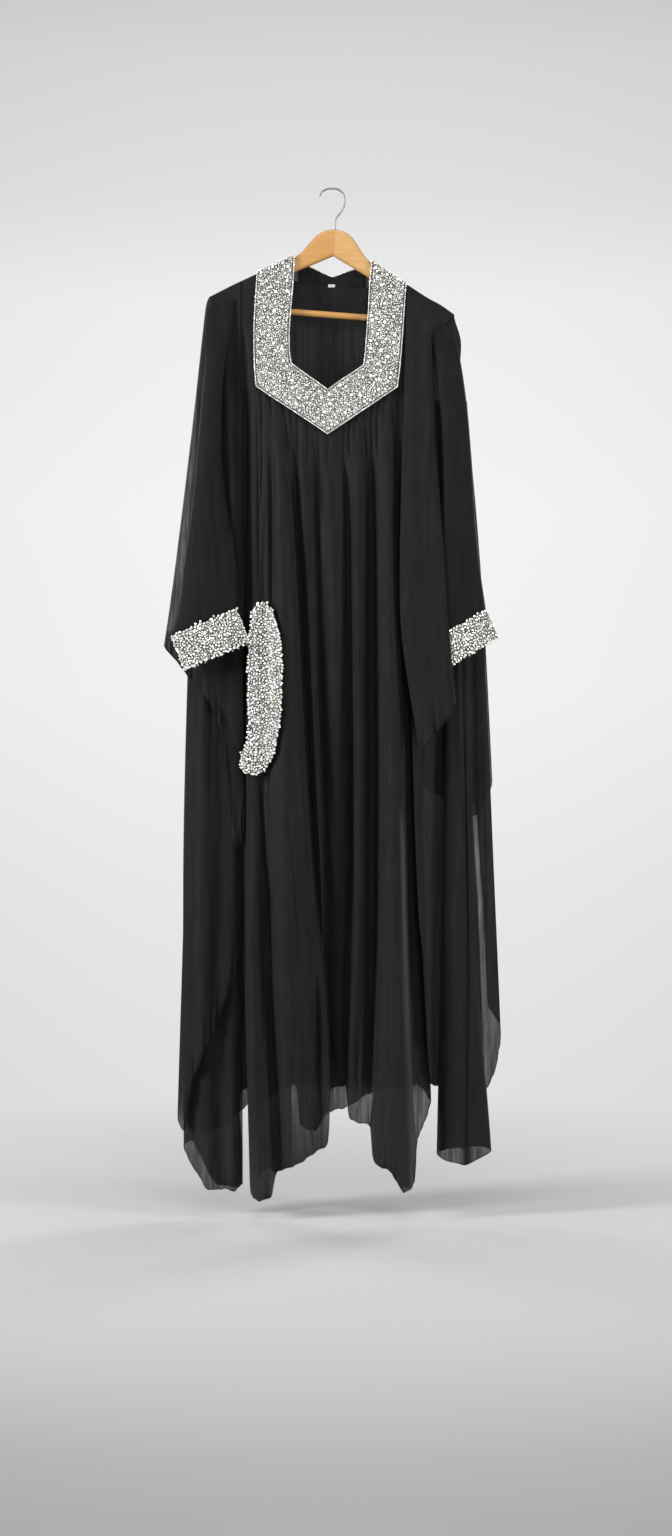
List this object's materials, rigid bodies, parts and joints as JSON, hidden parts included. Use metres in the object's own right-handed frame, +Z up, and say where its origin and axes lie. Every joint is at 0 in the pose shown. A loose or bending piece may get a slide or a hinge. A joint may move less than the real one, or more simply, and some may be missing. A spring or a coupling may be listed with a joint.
{
  "type": "jebba on a hanger",
  "caption": "Long loose dress of sheer cloth with wing sleeves, a beaded band round the neck, beaded cuffs and a beaded pocket edge, hanging from a wooden hanger.",
  "frame": {"origin": "inside of the hook's top, where a rail or peg holds the hanger", "axes": "+Z up along the hanging length, +X to the right as seen from the front, -Y towards the garment's front"},
  "size_m": [0.5567, 0.1392, 1.6531],
  "materials": {
    "black_chiffon": "thin sheer black chiffon with a soft sheen",
    "silver_beads": "black cloth closely sewn with small silver, grey and clear beads",
    "varnished_wood": "light wood with an orange-tan satin varnish",
    "hook_wire": "bright plated wire",
    "label_cloth": "plain white woven label"
  },
  "bodies": {
    "root": {"gown_front": "black_chiffon", "gown_back": "black_chiffon", "gore_left": "black_chiffon", "gore_right": "black_chiffon", "over_left": "black_chiffon", "over_right": "black_chiffon", "wing_left": "black_chiffon", "wing_right_front": "black_chiffon", "wing_right_back": "black_chiffon", "sleeve_left": "black_chiffon", "sleeve_right": "black_chiffon", "neck_facing": "black_chiffon", "cuff_left": "silver_beads", "cuff_right": "silver_beads", "neck_band_front": "silver_beads", "neck_band_back": "silver_beads", "pocket_band": "silver_beads", "hanger_left": "varnished_wood", "hanger_right": "varnished_wood", "hanger_bar": "varnished_wood", "hanger_hook": "hook_wire", "label": "label_cloth"}
  },
  "joints": []
}
